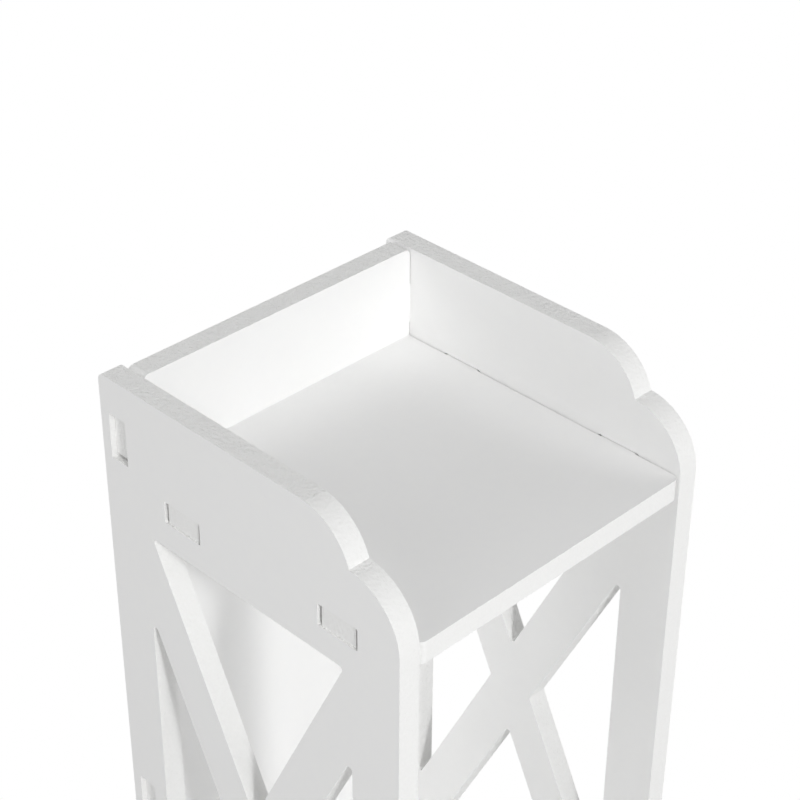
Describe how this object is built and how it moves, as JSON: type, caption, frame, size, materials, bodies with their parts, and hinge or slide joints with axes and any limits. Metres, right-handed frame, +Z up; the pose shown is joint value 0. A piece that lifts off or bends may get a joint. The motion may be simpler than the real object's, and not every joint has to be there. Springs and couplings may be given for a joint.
{
  "type": "bathroom drawer cabinet",
  "caption": "Narrow tower cabinet of slotted foam board: a scalloped tray on top, an open bay with crossed struts in its sides, and sliding drawers with round knobs below.",
  "frame": {"origin": "on the floor, under the middle of the cabinet's box with its knobs", "axes": "+Z up, -Y to the front, where the drawers open, +X to the right seen from the front"},
  "size_m": [0.2, 0.22, 0.8],
  "materials": {
    "white_board": "white PVC foam board, satin skin and routed edges",
    "knob_white": "moulded white plastic",
    "screw_steel": "zinc-plated steel"
  },
  "bodies": {
    "carcass": {"left_side_panel": "white_board", "right_side_panel": "white_board", "back_panel": "white_board", "top_shelf": "white_board", "bay_shelf": "white_board", "drawer_divider": "white_board", "bottom_shelf": "white_board"},
    "upper_drawer": {"upper_drawer_front": "white_board", "upper_drawer_left_side": "white_board", "upper_drawer_right_side": "white_board", "upper_drawer_back": "white_board", "upper_drawer_bottom": "white_board", "upper_drawer_knob": "knob_white", "upper_drawer_knob_screw": "screw_steel"},
    "lower_drawer": {"lower_drawer_front": "white_board", "lower_drawer_left_side": "white_board", "lower_drawer_right_side": "white_board", "lower_drawer_back": "white_board", "lower_drawer_bottom": "white_board", "lower_drawer_knob": "knob_white", "lower_drawer_knob_screw": "screw_steel"}
  },
  "joints": [
    {"name": "upper_drawer_slide", "type": "slide", "parent": "carcass", "child": "upper_drawer", "axis": [0, -1, 0], "range_m": [0, 0.13]},
    {"name": "lower_drawer_slide", "type": "slide", "parent": "carcass", "child": "lower_drawer", "axis": [0, -1, 0], "range_m": [0, 0.13]}
  ]
}
